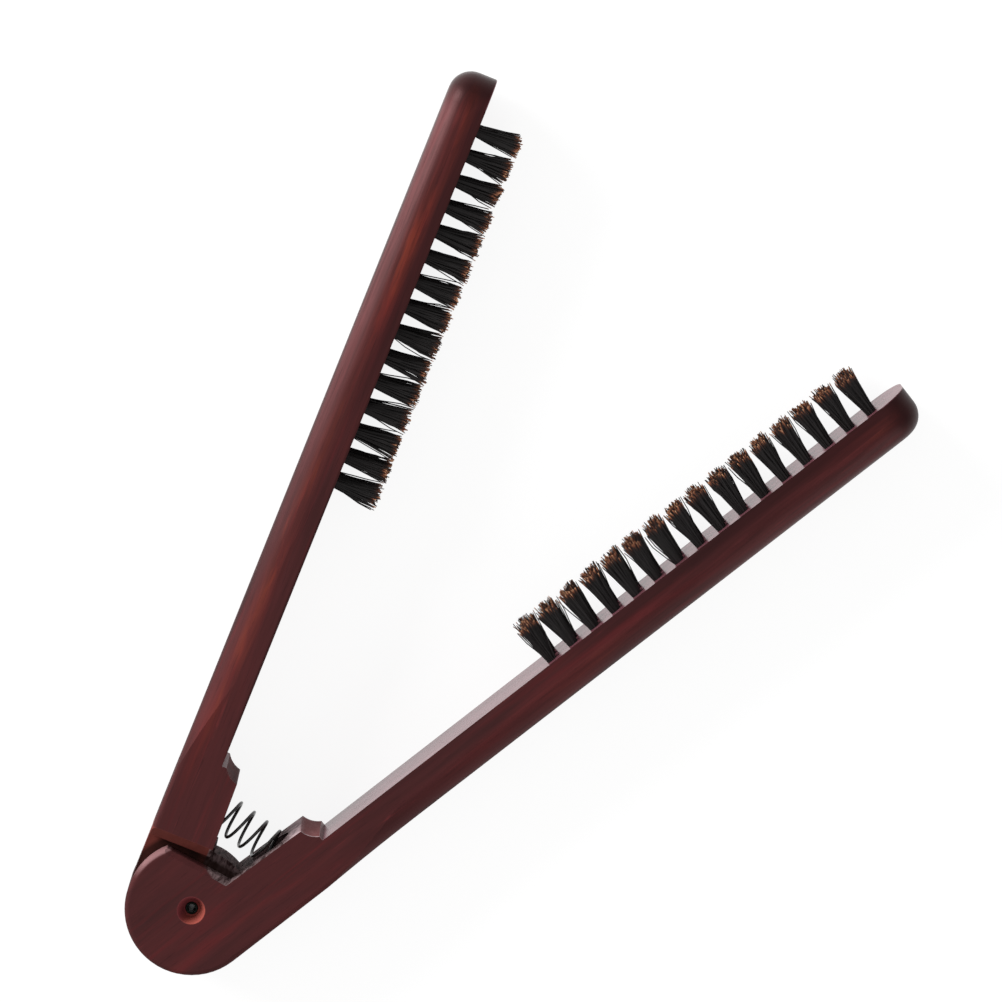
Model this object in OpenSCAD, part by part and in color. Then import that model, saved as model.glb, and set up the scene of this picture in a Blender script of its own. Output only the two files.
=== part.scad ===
// Hinged wooden comb with facing rows of bristle tufts, lying on its side and sprung open.
//
// The hinge axis is +Z through the origin, the comb rests on z = 0, and its two arms open
// to both sides of +X. Each arm is drawn in its own frame: x runs from the hinge axis to
// the tip, y points at the other arm, and z runs across the comb. All sizes are in mm.

/* [Whole comb] */
// Width of the comb, along the hinge pin
comb_w = 22; // [20:0.5:28]
// Length of each arm, from the hinge axis to the tip
arm_len = 220; // [190:1:250]
// Angle between the arms as the spring holds them open
open_angle = 30; // [24:0.5:36]

/* [Arms] */
// Distance from the hinge axis to the plane of an arm's bristle face
face_off = 6.3; // [6.1:0.1:7]
// Thickness of an arm behind its bristle face
arm_t = 10.4; // [9.5:0.1:12]
// Radius rounded over the outer edges and round the tip
edge_r = 5.8; // [3.5:0.1:6.5]
// Radius of the tip's corners, seen square to the bristle face
tip_corner_r = 8; // [7:0.1:9]
// Distance from the hinge axis at which the rounding of the long edges starts to run out
runout_start = 58; // [45:1:80]
// Radius of the cutter path on which the rounding runs out
runout_path_r = 90; // [60:5:120]
// Radius that breaks the rims of the round hinge end
rim_r = 1.3; // [0.5:0.1:1.6]

/* [Pads] */
// Distance from the hinge axis to the far end of a spring pad
pad_end = 33.9; // [32:0.1:36]
// Height of the far end of a spring pad over the bristle face
pad_h = 5.15; // [4.8:0.05:5.3]
// How much higher a pad is at the hinge axis than at its far end
pad_rise = 0.9; // [0.5:0.1:1]
// Length of a pad's hollow end, along the arm
cove_run = 2.9; // [2.4:0.1:3.4]
// Radius of that hollow
cove_r = 6; // [4.5:0.1:9]
// Height of the lip at the foot of the hollow
lip_h = 1.2; // [0.8:0.1:1.6]

/* [Hinge] */
// Thickness of each cheek of the fork
cheek_t = 5.6; // [5:0.1:6.4]
// Gap between each cheek and the tongue
cheek_gap = 0.15; // [0.1:0.01:0.3]
// Radius of the tongue where it turns past the fork
tongue_r = 14.7; // [14:0.1:15]
// Gap between the tongue's round and the floor of the fork's slot
slot_gap = 0.4; // [0.3:0.05:0.6]
// Gap at which the tongue's heel stops the arms from opening further
stop_gap = 0.05; // [0.03:0.01:0.1]
// Distance from the hinge axis to the flat on each cheek that faces the tongue arm
flat_off = 10.8; // [9.5:0.1:11]
// Lean of that flat away from square to the fork arm
flat_lean = 23; // [20:1:30]
// Bevel along the edge of the flat
flat_bevel = 1.2; // [0.6:0.1:1.6]
// Gap between the corner of the flat and the tongue arm's shoulders
shoulder_gap = 1.6; // [1:0.1:2.4]
// Bevel along the edges of the shoulders
shoulder_bevel = 2.4; // [1.6:0.1:2.8]

/* [Hinge pin] */
// Outer diameter of the tubular pin
pin_d = 3.2; // [2.8:0.1:4]
// Wall of the tubular pin
pin_wall = 0.6; // [0.4:0.05:0.8]
// How far each end of the pin stands up from the floor of its recess
pin_proud = 0.3; // [0.1:0.05:1]
// Bevel on the pin's ends
pin_bevel = 0.2; // [0.1:0.05:0.3]
// Running gap between the pin and the tongue, all round
pin_gap = 0.05; // [0.02:0.01:0.08]
// Diameter of the tapered recesses over the pin's ends, at the side faces
recess_d = 6.9; // [6:0.1:9]
// Diameter of those recesses at their floors
recess_floor_d = 4.2; // [3.6:0.1:5.6]
// Depth of the recesses over the pin's ends
recess_depth = 3.4; // [2.4:0.1:3.8]

/* [Spring] */
// Outer diameter of the coil
coil_d = 10; // [9:0.1:10.5]
// Diameter of the wire
wire_d = 0.8; // [0.7:0.05:1]
// Length of the spring between the floors of its seats
spring_len = 27.5; // [26:0.5:30]
// Distance from the hinge axis to the axis of the spring
spring_off = 23; // [22:0.1:24]
// Open turns between the end turns
open_turns = 6; // [5:1:7]
// Pitch of the end turn at each seat
end_pitch = 1.35; // [1.3:0.05:1.6]
// Angle round the spring's axis at which the wire starts
wire_start = 234; // [0:6:354]
// Gap between the coil and the wall of its seat
seat_gap = 0.45; // [0.3:0.05:0.7]

/* [Bristles] */
// Number of tuft rows on the fork arm
fork_rows = 16; // [8:1:16]
// Number of tuft rows on the tongue arm
tongue_rows = 15; // [8:1:15]
// Tufts in each row across the comb
tufts_across = 3; // [2:1:3]
// Distance between rows along an arm
row_pitch = 6.7; // [6.2:0.1:7.2]
// Distance from the tip to the fork arm's last row
tip_margin = 10; // [9.5:0.1:14]
// Distance from a side face to the nearest tuft
side_margin = 4.4; // [4:0.1:5]
// Diameter of the drilled hole of a tuft
hole_d = 2.6; // [2.4:0.1:3.2]
// Depth of the drilled hole of a tuft
hole_depth = 5.5; // [4.5:0.1:6.5]
// Gap between a tuft's root and its hole, all round
root_gap = 0.05; // [0.03:0.01:0.08]
// Height of the bristles over the wood
tuft_h = 11.9; // [10.5:0.1:12]
// Width of a tuft at its tip, along the arm
tuft_tip_w = 4.9; // [4:0.1:5.4]
// Width of a bristle strand where it leaves the wood
strand_w = 0.6; // [0.45:0.05:0.65]
// Thickness of a bristle strand across the comb
strand_t = 0.3; // [0.2:0.05:0.35]

/* [Tuft anchors] */
// Thickness of an anchor
anchor_t = 0.35; // [0.25:0.05:0.5]
// Height of an anchor
anchor_h = 1.6; // [1.2:0.1:2]
// Height of an anchor over the floor of its hole
anchor_up = 0.8; // [0.5:0.1:1.2]

/* [Hidden] */
$fn = 96;
lap = 1;
half_open = open_angle / 2;
mid_z = comb_w / 2;
hinge_r = face_off + arm_t;
slot_floor = tongue_r + slot_gap;
slot_w = comb_w - 2 * cheek_t;
tongue_w = slot_w - 2 * cheek_gap;
flat_corner = flat_lean + acos(flat_off / hinge_r);
shoulder_s = hinge_r * cos(flat_corner - open_angle) + shoulder_gap;
pad_y = pad_h - face_off;
cove_drop = pad_h - lip_h;
lip_end = pad_end + cove_run;
pin_len = comb_w - 2 * recess_depth + 2 * pin_proud;
seat_r = coil_d / 2 + seat_gap;
root_r = hole_d / 2 - root_gap;
row_span = comb_w - 2 * side_margin;

// Spring geometry: the centre line runs round the coil and climbs faster between the end turns
coil_r = (coil_d - wire_d) / 2;
rings_per_turn = 8;
wire_sides = 6;
end_turns = 1;
turns = open_turns + 2 * end_turns;
wire_seat = wire_d / 2 * cos(180 / wire_sides);
open_pitch = (spring_len - 2 * wire_seat - 2 * end_turns * end_pitch) / open_turns;

// Strands of one tuft: [place at the root along the arm, share of the fan at the tip, layer].
// A strand never leaves its layer across the comb, and the two arms' layers take turns,
// so that no strands meet when the comb is closed.
layer_step = 0.36 * root_r;
root_spread = 0.55 * root_r;
fork_strands = [[-1, -1, -1], [0, 0.05, -1], [1, 1, -1], [-0.55, -0.5, 1], [0.55, 0.55, 1]];
tongue_strands = [[-1, -1, 0], [0, -0.05, 0], [1, 1, 0], [0.1, 0.45, -2], [-0.1, -0.45, 2]];
strand_root = 0.6;
strand_knee = 0.5;
knee_fan = 0.4;
tip_share = 0.5;
rings_share = [1, 0.9, tip_share];

// How the strands differ from tuft to tuft: each is shorter and leans less than the full
// amount by up to these shares, on waves that run over the tufts and strands in turn
height_play = 0.05;
lean_play = 0.06;
height_wave = [61, 83];
lean_wave = [97, 131];
tufts_apart = 7;
arms_apart = 40;
function held_back(play, wave, seed, n) = 1 - play * (1 - sin(seed * wave[0] + n * wave[1]));

fork_names = [for (i = [1:fork_rows]) str("fork_tufts_", i < 10 ? "0" : "", i)];
tongue_names = [for (i = [1:tongue_rows]) str("tongue_tufts_", i < 10 ? "0" : "", i)];

wood = "#5a2a2b";
black = "#1b1716";
steel = "#8f9294";

// Where things sit

module on_fork_side() {
    rotate([0, 0, -half_open])
        children();
}

module on_tongue_side() {
    rotate([0, 0, half_open])
        mirror([0, 1, 0])
            children();
}

// Rows are numbered from the hinge, and the tongue arm's lie half a pitch further out
function fork_row_x(i) = arm_len - tip_margin - (fork_rows - i) * row_pitch;
function tongue_row_x(i) = fork_row_x(i) + row_pitch / 2;
function tuft_z(j) = side_margin + j * row_span / (tufts_across - 1);
function pad_line(x) = pad_y + pad_rise * (1 - x / pad_end);

// The arms

// What rounding a corner to radius r takes off a solid that fills x < 0 and y < 0
module corner_waste(r) {
    difference() {
        translate([-r, -r])
            square(r + lap);
        translate([-r, -r])
            circle(r);
    }
}

// Section of an arm's bar: x is the arm's y and y runs across the comb
module bar_section() {
    difference() {
        translate([-hinge_r, 0])
            square([arm_t, comb_w]);
        for (side = [0, 1])
            translate([-hinge_r, side * comb_w])
                mirror([1, 0])
                    mirror([0, 1 - side])
                        corner_waste(edge_r);
    }
}

// Side view of the tip, from the axis of its corners out
module tip_profile() {
    difference() {
        translate([0, -hinge_r])
            square([tip_corner_r, arm_t]);
        translate([tip_corner_r, -hinge_r])
            mirror([0, 1])
                corner_waste(edge_r);
    }
}

// The straight bar from the start of the run-out to the rounded tip
module bar() {
    corner_x = arm_len - tip_corner_r;
    translate([runout_start, 0, 0])
        rotate([90, 0, 90])
            linear_extrude(corner_x - runout_start)
                bar_section();
    translate([corner_x, 0, tip_corner_r])
        linear_extrude(comb_w - 2 * tip_corner_r)
            tip_profile();
    for (z = [tip_corner_r, comb_w - tip_corner_r])
        translate([corner_x, 0, z])
            rotate([-90, 0, 0])
                rotate_extrude()
                    tip_profile();
}

// Stock of the thick end, from x = start to where the rounding of the bar is whole, with the
// hollow end of the spring pad. The hollow's circle passes through both of its edges.
module pad_stock(start) {
    chord = norm([cove_run, cove_drop]);
    to_centre = sqrt(cove_r * cove_r - chord * chord / 4) / chord;
    difference() {
        polygon([[start, -hinge_r], [runout_start, -hinge_r], [runout_start, -face_off],
                 [lip_end, -face_off], [lip_end, pad_y], [pad_end, pad_y],
                 [start, pad_line(start)]]);
        translate([pad_end + cove_run / 2 + to_centre * cove_drop,
                   pad_y - cove_drop / 2 + to_centre * cove_run])
            circle(cove_r);
    }
}

// What the cutters take off the two outer edges of the thick end: a small rounding from
// x = start on, and the run-out of the bar's large one on an arc that leaves the side face
module edge_cuts(start) {
    for (side = [0, 1])
        translate([0, 0, side * comb_w])
            mirror([0, 0, 1 - side]) {
                translate([start, -hinge_r, 0])
                    rotate([90, 0, 90])
                        linear_extrude(runout_start - start + lap)
                            mirror([1, 0])
                                corner_waste(rim_r);
                translate([runout_start, 0, runout_path_r])
                    rotate([-90, 0, 0])
                        rotate_extrude()
                            translate([runout_path_r, -hinge_r])
                                rotate(180)
                                    corner_waste(edge_r);
            }
}

// Disc of the fork's round end, with both rims rounded
module round_end() {
    rotate_extrude()
        difference() {
            square([hinge_r, comb_w]);
            for (side = [0, 1])
                translate([hinge_r, side * comb_w])
                    mirror([0, 1 - side])
                        corner_waste(rim_r);
        }
}

// What a bevel of the given size takes off an edge that runs along y
module bevel_waste(size, length) {
    rotate([90, 0, 0])
        linear_extrude(length, center = true)
            rotate(45)
                square(size * sqrt(2), center = true);
}

// What the flat on the cheeks and the bevels along its edges take off the round end
module flat_cuts() {
    rotate(flat_lean) {
        translate([flat_off, -hinge_r - lap, -lap])
            cube([hinge_r, 2 * (hinge_r + lap), comb_w + 2 * lap]);
        for (z = [0, comb_w])
            translate([flat_off, 0, z])
                bevel_waste(flat_bevel, 2 * (hinge_r + lap));
    }
}

// Recesses over both ends of the pin, wider at the side faces than at their floors
module pin_recesses() {
    for (side = [0, 1])
        translate([0, 0, side * comb_w])
            mirror([0, 0, side])
                rotate_extrude()
                    polygon([[0, -lap], [recess_d / 2, -lap], [recess_d / 2, 0],
                             [recess_floor_d / 2, recess_depth], [0, recess_depth]]);
}

// Blind holes for the tufts, drilled square to the bristle face
module tuft_holes(row_x) {
    for (x = row_x, j = [0:tufts_across - 1])
        translate([x, lap - face_off, tuft_z(j)])
            rotate([90, 0, 0])
                cylinder(d = hole_d, h = hole_depth + lap);
}

// Blind seats for the spring in both arms, drilled along the spring's own axis
module spring_seats() {
    translate([spring_off, -spring_len / 2, mid_z])
        rotate([-90, 0, 0])
            cylinder(r = seat_r, h = spring_len);
}

module fork_arm() {
    color(wood)
        difference() {
            on_fork_side()
                difference() {
                    union() {
                        bar();
                        difference() {
                            linear_extrude(comb_w)
                                pad_stock(0);
                            edge_cuts(0);
                        }
                        difference() {
                            round_end();
                            flat_cuts();
                        }
                    }
                    translate([-hinge_r - lap, -hinge_r - lap, cheek_t])
                        cube([hinge_r + lap + slot_floor, 2 * (hinge_r + lap), slot_w]);
                    translate([0, 0, -lap])
                        cylinder(d = pin_d, h = comb_w + 2 * lap);
                    pin_recesses();
                    tuft_holes([for (i = [1:fork_rows]) fork_row_x(i)]);
                }
            spring_seats();
        }
}

// Side view of the tongue. Its round end is flush with the fork's. Past the fork arm's
// line it turns on a smaller radius, and the heel between the two meets the slot's floor.
module tongue_outline() {
    reach = hinge_r + lap;
    circle(tongue_r);
    intersection() {
        circle(hinge_r);
        union() {
            translate([-reach, -reach])
                square([2 * reach, reach]);
            rotate(open_angle)
                translate([-reach, 0])
                    square([reach + slot_floor - stop_gap, reach]);
        }
    }
    polygon([[0, -hinge_r], [shoulder_s, -hinge_r], [shoulder_s, pad_line(shoulder_s)], [0, 0]]);
}

// Bevels along the edges of the two shoulders beside the tongue
module shoulder_bevels() {
    for (z = [0, comb_w])
        translate([shoulder_s, 0, z])
            bevel_waste(shoulder_bevel, 2 * (hinge_r + lap));
}

module tongue_arm() {
    color(wood)
        difference() {
            on_tongue_side()
                difference() {
                    union() {
                        bar();
                        difference() {
                            linear_extrude(comb_w)
                                pad_stock(shoulder_s);
                            edge_cuts(shoulder_s - lap);
                            shoulder_bevels();
                        }
                        translate([0, 0, cheek_t + cheek_gap])
                            linear_extrude(tongue_w)
                                tongue_outline();
                    }
                    translate([0, 0, -lap])
                        cylinder(r = pin_d / 2 + pin_gap, h = comb_w + 2 * lap);
                    tuft_holes([for (i = [1:tongue_rows]) tongue_row_x(i)]);
                }
            spring_seats();
        }
}

// The hinge

// Tube pressed through both cheeks, with bevelled ends that stand up a little in their recesses
module hinge_pin() {
    outer = pin_d / 2;
    inner = outer - pin_wall;
    color(steel)
        translate([0, 0, recess_depth - pin_proud])
            rotate_extrude()
                polygon([[inner, 0], [outer - pin_bevel, 0], [outer, pin_bevel],
                         [outer, pin_len - pin_bevel], [outer - pin_bevel, pin_len],
                         [inner, pin_len]]);
}

// The spring

// Height of the wire's centre line over its lower end, u turns along
function climb(u) =
    u < end_turns ? end_pitch * u :
    u < turns - end_turns ? end_pitch * end_turns + open_pitch * (u - end_turns) :
    end_pitch * (u - turns + 2 * end_turns) + open_pitch * open_turns;

function wire_angle(k) = wire_start + 360 * k / rings_per_turn;
function round_dir(k) = [cos(wire_angle(k)), 0, sin(wire_angle(k))];
function along_dir(k) = [-sin(wire_angle(k)), 0, cos(wire_angle(k))];

// Centre of ring k of the wire. The ends run straight on for one diameter of the wire.
last_ring = turns * rings_per_turn;
function wire_centre(k) =
    k < 0 ? wire_centre(0) - wire_d * along_dir(0) :
    k > last_ring ? wire_centre(last_ring) + wire_d * along_dir(last_ring) :
    [spring_off, wire_seat - spring_len / 2 + climb(k / rings_per_turn), mid_z]
    + coil_r * round_dir(k);

function wire_dir(k) =
    let (d = wire_centre(min(k + 1, last_ring + 1)) - wire_centre(max(k - 1, -1)))
    k <= 0 ? along_dir(0) : k >= last_ring ? along_dir(last_ring) : d / norm(d);

wire_rings = [-1:last_ring + 1];
wire_centres = [for (k = wire_rings) wire_centre(k)];
least_gap = min([for (a = [0:len(wire_centres) - 1])
                 for (b = [a + rings_per_turn / 2:1:len(wire_centres) - 1])
                 norm(wire_centres[a] - wire_centres[b])]) - wire_d;
echo(least_gap_between_turns_of_the_spring = least_gap);

module spring() {
    points = [for (k = wire_rings, j = [0:wire_sides - 1])
              let (out = round_dir(min(max(k, 0), last_ring)), up = cross(out, wire_dir(k)))
              wire_centre(k) + wire_d / 2 * (cos(360 * j / wire_sides) * out
                                             + sin(360 * j / wire_sides) * up)];
    rings = len(points) / wire_sides;
    sides = [for (i = [0:rings - 2], j = [0:wire_sides - 1])
             let (a = i * wire_sides + j, b = i * wire_sides + (j + 1) % wire_sides)
             each [[a, b, b + wire_sides], [a, b + wire_sides, a + wire_sides]]];
    last = (rings - 1) * wire_sides;
    ends = [for (j = [1:wire_sides - 2]) each [[0, j + 1, j], [last, last + j, last + j + 1]]];
    color(black)
        polyhedron(points, concat(sides, ends));
}

// The bristles

// One strand, rooted inside its tuft's root: it leaves the wood at x0, reaches x1 at its tip
// h over the wood, and stays in its own layer, strand_t thick across the comb
module strand(x0, x1, h) {
    y = [-face_off - strand_root, -face_off + strand_knee * h, -face_off + h];
    x = [x0, x0 + knee_fan * (x1 - x0), x1];
    points = [for (r = [0:2], c = [[-0.5, -0.5], [0.5, -0.5], [0, 0.5]])
              [x[r] + rings_share[r] * c[0] * strand_w, y[r], rings_share[r] * c[1] * strand_t]];
    sides = [for (r = [0, 3], j = [0:2])
             let (a = r + j, b = r + (j + 1) % 3)
             each [[a, b, b + 3], [a, b + 3, a + 3]]];
    polyhedron(points, concat([[2, 1, 0], [6, 7, 8]], sides));
}

// One tuft on the bristle face at x = 0, z = 0: a root that fills its drilled hole, a round
// slice of the backing, with the strands fused to it and a slot where its anchor grips it
module tuft(strands, seed) {
    fan = tuft_tip_w / 2 - tip_share * strand_w / 2;
    difference() {
        translate([0, -face_off, 0])
            rotate([90, 0, 0])
                cylinder(r = root_r, h = hole_depth);
        translate([-root_r - lap, anchor_up - face_off - hole_depth, -anchor_t / 2])
            cube([2 * (root_r + lap), anchor_h, anchor_t]);
    }
    for (n = [0:len(strands) - 1])
        translate([0, 0, strands[n][2] * layer_step])
            strand(strands[n][0] * root_spread,
                   strands[n][1] * fan * held_back(lean_play, lean_wave, seed, n),
                   tuft_h * held_back(height_play, height_wave, seed, n));
}

module tuft_row(x, strands, seed) {
    color(black)
        for (j = [0:tufts_across - 1])
            translate([x, 0, tuft_z(j)])
                tuft(strands, seed + tufts_apart * j);
}

module fork_tufts(i) {
    on_fork_side()
        tuft_row(fork_row_x(i), fork_strands, i);
}

module tongue_tufts(i) {
    on_tongue_side()
        tuft_row(tongue_row_x(i), tongue_strands, i + arms_apart);
}

// Flat metal anchors that hold the folded tufts at the bottom of their holes
module anchors(row_x) {
    color(steel)
        for (x = row_x, j = [0:tufts_across - 1])
            translate([x - root_r, anchor_up - face_off - hole_depth, tuft_z(j) - anchor_t / 2])
                cube([2 * root_r, anchor_h, anchor_t]);
}

module fork_tuft_anchors() {
    on_fork_side()
        anchors([for (i = [1:fork_rows]) fork_row_x(i)]);
}

module tongue_tuft_anchors() {
    on_tongue_side()
        anchors([for (i = [1:tongue_rows]) tongue_row_x(i)]);
}

fork_arm();
tongue_arm();
hinge_pin();
spring();
fork_tuft_anchors();
tongue_tuft_anchors();
for (i = [1:fork_rows])
    fork_tufts(i);
for (i = [1:tongue_rows])
    tongue_tufts(i);
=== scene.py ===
# %% [markdown]
# # A sprung wooden comb with facing bristle tufts
#
# The comb is two dark lacquered wooden arms on a fork-and-tongue hinge. A black coil
# spring holds them open, and rows of bristle tufts stand on both inner faces. It lies on
# its side on a white floor, and the camera looks down on it.
#
# The arms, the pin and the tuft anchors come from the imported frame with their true
# shapes, so here they only get their finishes. The bristles and the spring are built
# again, finer than in the frame, because they are what the eye goes to first.

import bpy
import numpy as np
from mathutils import Matrix, Vector


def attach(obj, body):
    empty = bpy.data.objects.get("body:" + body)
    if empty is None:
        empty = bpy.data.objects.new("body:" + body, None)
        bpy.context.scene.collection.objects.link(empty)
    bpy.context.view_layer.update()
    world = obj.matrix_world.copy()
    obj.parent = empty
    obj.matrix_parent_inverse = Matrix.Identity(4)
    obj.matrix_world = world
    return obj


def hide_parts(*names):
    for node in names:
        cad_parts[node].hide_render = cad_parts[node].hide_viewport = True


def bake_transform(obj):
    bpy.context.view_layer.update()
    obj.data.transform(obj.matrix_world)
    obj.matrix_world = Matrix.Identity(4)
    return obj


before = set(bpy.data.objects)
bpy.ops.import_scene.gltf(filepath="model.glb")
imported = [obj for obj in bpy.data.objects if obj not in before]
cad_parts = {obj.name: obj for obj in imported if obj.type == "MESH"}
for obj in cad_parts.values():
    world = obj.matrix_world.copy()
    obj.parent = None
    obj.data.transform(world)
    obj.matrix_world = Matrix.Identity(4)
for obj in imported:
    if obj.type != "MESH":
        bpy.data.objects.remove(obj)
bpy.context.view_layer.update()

# %% [markdown]
# ## Sizes that the pieces share
#
# The frame is in metres, and its X axis runs midway between the two arms. Every piece could
# be worked out in place, but the two arms are alike. So an arm has a frame of its own, with
# x along the arm from the hinge and y towards the other arm, and one function turns points
# from it into the comb's frame. A second one makes a mesh object of any array of points.

# %% Sizes of the comb, in metres
MM = 0.001
HALF_OPEN = np.radians(15.0)
COMB_W = 22 * MM
MID_Z = COMB_W / 2
ARM_LEN = 220 * MM
FACE_Y = -6.3 * MM
HINGE_R = 16.7 * MM
SPRING_OFF = 23 * MM


def arm_to_frame(points, side):
    """Turns points from an arm's own frame into the comb's. The fork arm (side -1) is turned
    by minus half the opening; the tongue arm (side +1) is mirrored in y and turned by plus
    half, so that its y axis points back at the fork arm."""
    x, y, z = points[..., 0], -side * points[..., 1], points[..., 2]
    c, s = np.cos(HALF_OPEN), side * np.sin(HALF_OPEN)
    return np.stack([c * x - s * y, s * x + c * y, z], axis=-1)


def new_piece(name, points, faces, smooth=True):
    """A mesh object from an array of points and a list of faces, linked to the scene."""
    mesh = bpy.data.meshes.new(name)
    mesh.from_pydata(points.reshape(-1, 3).tolist(), [], faces)
    mesh.polygons.foreach_set("use_smooth", np.full(len(mesh.polygons), smooth))
    mesh.update()
    piece = bpy.data.objects.new(name, mesh)
    bpy.context.scene.collection.objects.link(piece)
    return piece


print("arms %.0f mm from hinge to tip, comb %.0f mm wide" % (ARM_LEN / MM, COMB_W / MM))

# %% [markdown]
# ## Camera
#
# The photograph looks almost straight down on the comb, with the hinge at the lower left.
# A long lens far away gives its weak perspective. The camera could be aimed at a target by
# eye, but its turn is given by three axes instead: the picture's right, its up and the way
# back to the camera. They were found by matching the hinge, the two tips and the tilt of
# the pads' edges.

# %% Camera
CAMERA_AT = Vector((253.85, 109.88, 1358.16)) * MM
PICTURE_RIGHT = Vector((0.6016, -0.7987, 0.0093))
PICTURE_UP = Vector((0.7933, 0.5962, -0.1232))
PICTURE_PIXELS = 1002
FOCAL_PIXELS = 5440
SENSOR = 36.0
FARTHEST_SEEN = 20

camera = bpy.data.objects.new("camera", bpy.data.cameras.new("camera"))
bpy.context.scene.collection.objects.link(camera)
back = PICTURE_RIGHT.cross(PICTURE_UP).normalized()
right = PICTURE_UP.cross(back).normalized()
axes = Matrix((right, back.cross(right), back)).transposed()
camera.matrix_world = Matrix.Translation(CAMERA_AT) @ axes.to_4x4()
camera.data.sensor_width = SENSOR
camera.data.lens = SENSOR * (FOCAL_PIXELS / PICTURE_PIXELS)
camera.data.clip_end = FARTHEST_SEEN
bpy.context.scene.camera = camera
print("camera lens %.0f mm at %.2f m" % (camera.data.lens, CAMERA_AT.length))

# %% [markdown]
# ## Light
#
# The comb was photographed on plain white with soft light from all round, and a brighter
# side at the upper left that lights the outer edge of the upper arm. One lamp overhead
# would be the simplest, but the flat lacquered faces would mirror it and turn grey. So a
# pale world gives the soft light, one large low lamp the brighter side, and a weak wide
# lamp opposite keeps the other outer edge from going black.

# %% Light
COMB_CENTRE = (0.11, 0, 0)
TENT_STRENGTH = 0.49


def add_lamp(name, at, towards, size, power):
    """A square area lamp at a point, turned to face another point."""
    lamp = bpy.data.objects.new(name, bpy.data.lights.new(name, "AREA"))
    bpy.context.scene.collection.objects.link(lamp)
    lamp.data.shape = "SQUARE"
    lamp.data.size = size
    lamp.data.energy = power
    at = Vector(at)
    lamp.matrix_world = Matrix.Translation(at) @ (
        (at - Vector(towards)).to_track_quat("Z", "Y").to_matrix().to_4x4()
    )
    return lamp


lamps = [
    add_lamp("side_light", (0.1, 1.4, 0.48), COMB_CENTRE, size=0.8, power=33),
    add_lamp("fill_light", (-0.3, -1.5, 0.8), COMB_CENTRE, size=1.2, power=9),
]

world = bpy.data.worlds.new("white_tent")
bpy.context.scene.world = world
world.use_nodes = True
tent = world.node_tree.nodes["Background"]
tent.inputs["Color"].default_value = (1, 1, 1, 1)
tent.inputs["Strength"].default_value = TENT_STRENGTH

bpy.context.scene.view_settings.view_transform = "Standard"
print("lamps:", [(lamp.name, lamp.data.energy) for lamp in lamps])

# %% [markdown]
# ## Materials as sums
#
# A finish could be a picture laid on the surface, but a picture blurs when the camera comes
# near, and it would have to be stored beside the script. Every finish here is a tree of
# shader nodes instead. Wired by hand, a node takes four lines. This small class adds and
# joins one in a single call, so that the recipes further down read like sums.

# %% Finish, a material being built
# The sockets of a Mix node when it mixes colours
MIX_FACTOR, MIX_LOW, MIX_HIGH = 0, 6, 7


class Finish:
    """A material being built: add() makes a node, and join() links one to another."""

    def __init__(self, name):
        self.material = bpy.data.materials.new(name)
        self.material.use_nodes = True
        self.tree = self.material.node_tree
        self.shader = self.tree.nodes["Principled BSDF"]

    def add(self, kind, **settings):
        """Makes a node. A setting is a property of the node, or else one of its sockets."""
        node = self.tree.nodes.new(kind)
        for key, value in settings.items():
            if hasattr(node, key):
                setattr(node, key, value)
            else:
                node.inputs[key.replace("_", " ")].default_value = value
        return node

    def join(self, value, socket):
        """Feeds a socket from a node's first output, another socket, a colour or a number."""
        if isinstance(value, bpy.types.Node):
            value = [output for output in value.outputs if output.enabled][0]
        if isinstance(value, bpy.types.NodeSocket):
            self.tree.links.new(value, socket)
        else:
            socket.default_value = (*value, 1) if isinstance(value, tuple) else value

    def set(self, **values):
        """Sets values on the shader's own sockets."""
        for key, value in values.items():
            self.shader.inputs[key.replace("_", " ")].default_value = value

    def ramp(self, factor, stops):
        """A colour ramp fed by a factor. Each stop is a position and a linear colour."""
        node = self.add("ShaderNodeValToRGB")
        elements = node.color_ramp.elements
        while len(elements) < len(stops):
            elements.new(0.5)
        for element, (position, colour) in zip(elements, stops):
            element.position = position
            element.color = (*colour, 1)
        self.join(factor, node.inputs["Fac"])
        return node

    def blend(self, factor, low, high):
        """Mixes two colours by a factor: low where it is 0, high where it is 1."""
        node = self.add("ShaderNodeMix", data_type="RGBA")
        self.join(factor, node.inputs[MIX_FACTOR])
        self.join(low, node.inputs[MIX_LOW])
        self.join(high, node.inputs[MIX_HIGH])
        return node

    def math(self, kind, *values):
        """A sum on numbers. Three or more values are taken two at a time."""
        node = self.add("ShaderNodeMath", operation=kind)
        for value, socket in zip(values[:2], node.inputs):
            self.join(value, socket)
        return self.math(kind, node, *values[2:]) if len(values) > 2 else node

    def both(self, *masks):
        """Where all the masks hold at once: their product. A number weakens the rest."""
        return self.math("MULTIPLY", *masks)

    def rest(self, mask, whole=1.0):
        """What a mask leaves of a whole: the whole less the mask."""
        return self.math("SUBTRACT", whole, mask)

    def length(self, a, b):
        """The long side of a right-angled triangle whose short sides are a and b."""
        return self.math("SQRT", self.math("ADD", self.both(a, a), self.both(b, b)))

    def span(self, source, low, high):
        """0 where the source is low, 1 where it is high, and even in between."""
        node = self.add("ShaderNodeMapRange")
        self.join(source, node.inputs["Value"])
        self.join(low, node.inputs["From Min"])
        self.join(high, node.inputs["From Max"])
        return node


print("materials that came with the frame:", len(bpy.data.materials))

# %% [markdown]
# ## The floor
#
# The photograph's ground is plain white, with no edge and hardly a shadow. A white floor
# that only reflects would turn grey under the comb. So most of this floor's white is its
# own light: the shadow stays faint, and the comb's walls are lit from below.

# %% The lit white floor
FLOOR_HALF = 6.0
FLOOR_CORNERS = np.array([[-1, -1, 0], [1, -1, 0], [1, 1, 0], [-1, 1, 0]])

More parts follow.
